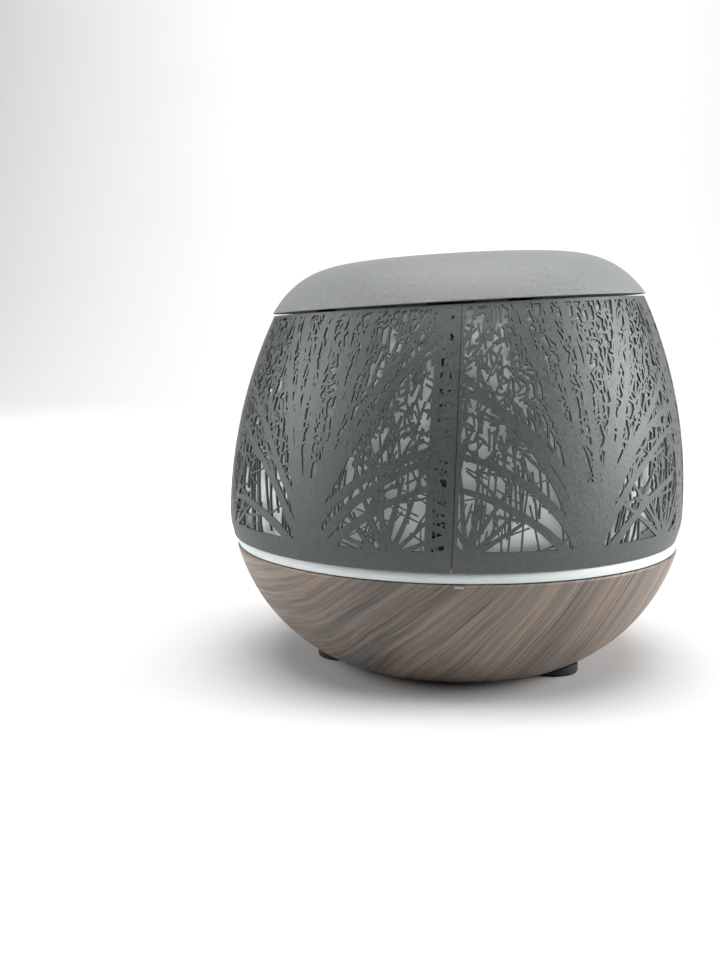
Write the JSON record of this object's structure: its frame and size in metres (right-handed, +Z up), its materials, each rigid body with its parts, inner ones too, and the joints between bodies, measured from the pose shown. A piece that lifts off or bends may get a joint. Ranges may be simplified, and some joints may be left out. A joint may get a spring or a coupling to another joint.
{
  "type": "essential oil diffuser",
  "caption": "Rounded ultrasonic oil diffuser: a lift-off cover with a domed cap and cut metal sleeve over a wood-grain bowl with tank, fan and atomiser.",
  "frame": {"origin": "on the table, at the centre of the base's footprint", "axes": "+Z up through the mist outlet; -Y is the side with the front seam of the sleeve, +Y the side with the buttons"},
  "size_m": [0.1578, 0.158, 0.1417],
  "materials": {
    "cap_paint": "fine sand-textured grey paint",
    "sleeve_paint": "sand-textured dark grey powder coat on thin sheet steel",
    "frosted_plastic": "frosted translucent plastic",
    "lamp_plastic": "pale resin of the light chips",
    "white_plastic": "plain white moulding",
    "wood_grain_plastic": "satin grey-brown printed wood grain",
    "dark_plastic": "fine matt moulding",
    "smoked_plastic": "dark polished window",
    "rubber": "matt black",
    "silicone": "pale satin silicone",
    "steel": "plated",
    "copper": "enamelled copper winding",
    "can_sleeve": "printed shrink sleeve",
    "circuit_board": "green solder mask",
    "lead_cover": "soft lead insulation"
  },
  "bodies": {
    "base": {"base_bowl": "wood_grain_plastic", "light_ring": "frosted_plastic", "water_tank": "frosted_plastic", "tank_gasket": "silicone", "atomiser_seal": "silicone", "atomiser_disc": "steel", "atomiser_clamp": "white_plastic", "clamp_screw_1": "steel", "clamp_screw_2": "steel", "air_duct": "white_plastic", "fan_housing": "dark_plastic", "main_board": "circuit_board", "board_screw_1": "steel", "board_screw_2": "steel", "boost_coil": "copper", "capacitor": "can_sleeve", "power_transistor": "dark_plastic", "power_jack": "dark_plastic", "light_board": "circuit_board", "light_1": "lamp_plastic", "light_2": "lamp_plastic", "light_3": "lamp_plastic", "light_4": "lamp_plastic", "light_5": "lamp_plastic", "light_6": "lamp_plastic", "mist_switch": "dark_plastic", "light_switch": "dark_plastic", "button_board": "circuit_board", "remote_receiver": "dark_plastic", "receiver_window": "smoked_plastic", "bottom_cover": "dark_plastic", "bottom_screw_1": "steel", "bottom_screw_2": "steel", "bottom_screw_3": "steel", "case_screw_1": "steel", "case_screw_2": "steel", "case_screw_3": "steel", "rubber_foot_1": "rubber", "rubber_foot_2": "rubber", "rubber_foot_3": "rubber", "fan_lead": "lead_cover", "atomiser_lead": "lead_cover", "light_lead": "lead_cover", "button_lead": "lead_cover"},
    "cover": {"top_cap": "cap_paint", "mist_guide": "white_plastic", "inner_shell": "frosted_plastic", "sleeve_panel_1": "sleeve_paint", "sleeve_panel_2": "sleeve_paint", "sleeve_panel_3": "sleeve_paint", "sleeve_panel_4": "sleeve_paint", "sleeve_panel_5": "sleeve_paint", "cap_screw_1": "steel", "cap_screw_2": "steel", "cap_screw_3": "steel"},
    "fan_rotor": {"fan_rotor": "dark_plastic"},
    "mist_button": {"mist_button": "dark_plastic"},
    "light_button": {"light_button": "dark_plastic"}
  },
  "joints": [
    {"name": "cover_lift", "type": "slide", "parent": "base", "child": "cover", "axis": [0, 0, 1], "range_m": [0, 0.16]},
    {"name": "fan_spin", "type": "hinge", "parent": "base", "child": "fan_rotor", "pos_m": [-0.02145, 0.018, 0.0084], "axis": [0, 0, 1], "continuous": true},
    {"name": "mist_press", "type": "slide", "parent": "base", "child": "mist_button", "axis": [0, -0.8095, 0.5872], "range_m": [0, 0.0008], "stiffness_N_per_m": 800, "springref_m": -0.0005},
    {"name": "light_press", "type": "slide", "parent": "base", "child": "light_button", "axis": [0, -0.8095, 0.5872], "range_m": [0, 0.0008], "stiffness_N_per_m": 800, "springref_m": -0.0005}
  ]
}
